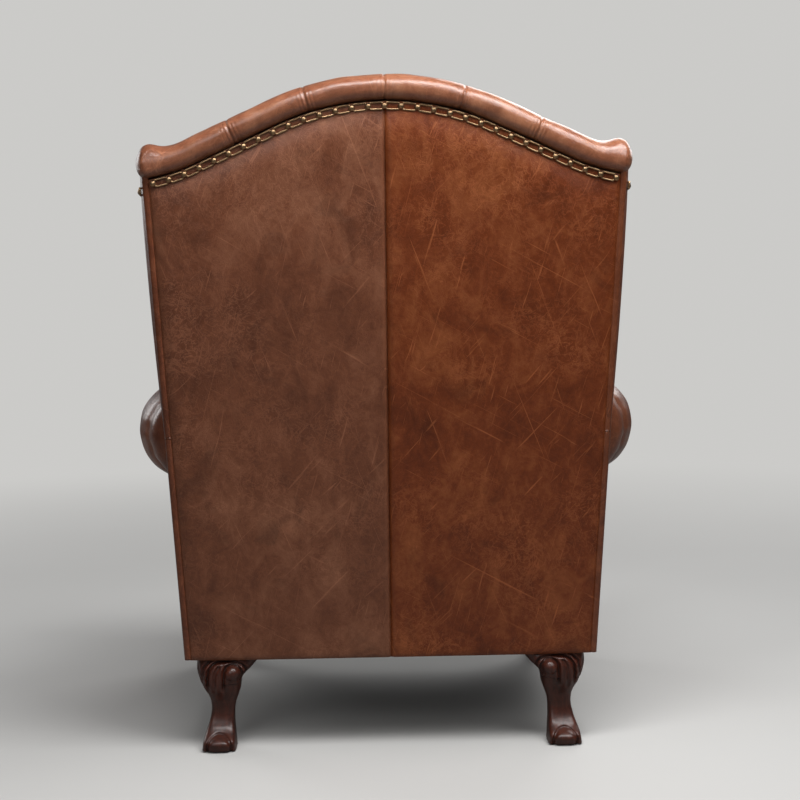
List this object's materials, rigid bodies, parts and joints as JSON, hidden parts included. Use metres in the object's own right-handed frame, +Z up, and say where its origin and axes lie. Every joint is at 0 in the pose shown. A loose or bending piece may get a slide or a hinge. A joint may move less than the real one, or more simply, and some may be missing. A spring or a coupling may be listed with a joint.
{
  "type": "wingback chair",
  "caption": "Wing chair with a camel-shaped padded crest, rolled arms, nail trim, carved cabriole legs and a loose seat cushion.",
  "frame": {"origin": "on the floor, under the middle of the chair's overall size", "axes": "+Z up, -Y the way the sitter faces, +X the sitter's left"},
  "size_m": [0.866, 0.8108, 1.1253],
  "materials": {
    "frame_wood": "raw hardwood, hidden",
    "leg_wood": "dark mahogany stain, satin",
    "steel": "plain, hidden",
    "glide": "matte",
    "antique_brass": "antiqued, worn on the raised parts",
    "leather": "distressed and waxed, semi-gloss",
    "deck_cloth": "plain woven",
    "hessian": "coarse woven jute",
    "padding": "soft, matte, hidden"
  },
  "bodies": {
    "chair": {"arm_facing_left": "leather", "arm_facing_right": "leather", "arm_rail_left": "frame_wood", "arm_rail_right": "frame_wood", "arm_roll_left": "leather", "arm_roll_right": "leather", "arm_stump_left": "frame_wood", "arm_stump_right": "frame_wood", "back_buttons": "leather", "back_stuffing_rail": "frame_wood", "back_trim_nails": "antique_brass", "back_trim_strip": "antique_brass", "back_webbing": "hessian", "block_screws": "steel", "crest_rail": "frame_wood", "dust_cover": "hessian", "facing_nails": "antique_brass", "foot_glides": "glide", "front_border": "leather", "front_corner_blocks": "frame_wood", "front_leg_left": "leg_wood", "front_leg_right": "leg_wood", "front_seat_rail": "frame_wood", "inside_arm_left": "leather", "inside_arm_right": "leather", "inside_back": "leather", "inside_wing_left": "leather", "inside_wing_right": "leather", "leg_bolts": "steel", "outside_arm_left": "leather", "outside_arm_right": "leather", "outside_back_left": "leather", "outside_back_right": "leather", "outside_wing_left": "leather", "outside_wing_right": "leather", "rear_corner_blocks": "frame_wood", "rear_leg_left": "leg_wood", "rear_leg_right": "leg_wood", "rear_post_left": "frame_wood", "rear_post_right": "frame_wood", "rear_seat_rail": "frame_wood", "seat_deck_cover": "deck_cloth", "seat_deck_pad": "padding", "seat_hessian": "hessian", "seat_springs": "steel", "side_seat_rail_left": "frame_wood", "side_seat_rail_right": "frame_wood", "side_trim_nails": "antique_brass", "side_trim_strips": "antique_brass", "spring_clips": "steel", "top_roll": "leather", "wing_post_left": "frame_wood", "wing_post_right": "frame_wood", "wing_rail_left": "frame_wood", "wing_rail_right": "frame_wood"},
    "cushion": {"seat_cushion_boxing": "leather", "seat_cushion_core": "padding", "seat_cushion_panels": "leather", "seat_cushion_welts": "leather"}
  },
  "joints": [
    {"name": "seat_cushion_lift", "type": "slide", "parent": "chair", "child": "cushion", "axis": [0, 0, 1], "range_m": [0, 0.3]}
  ]
}
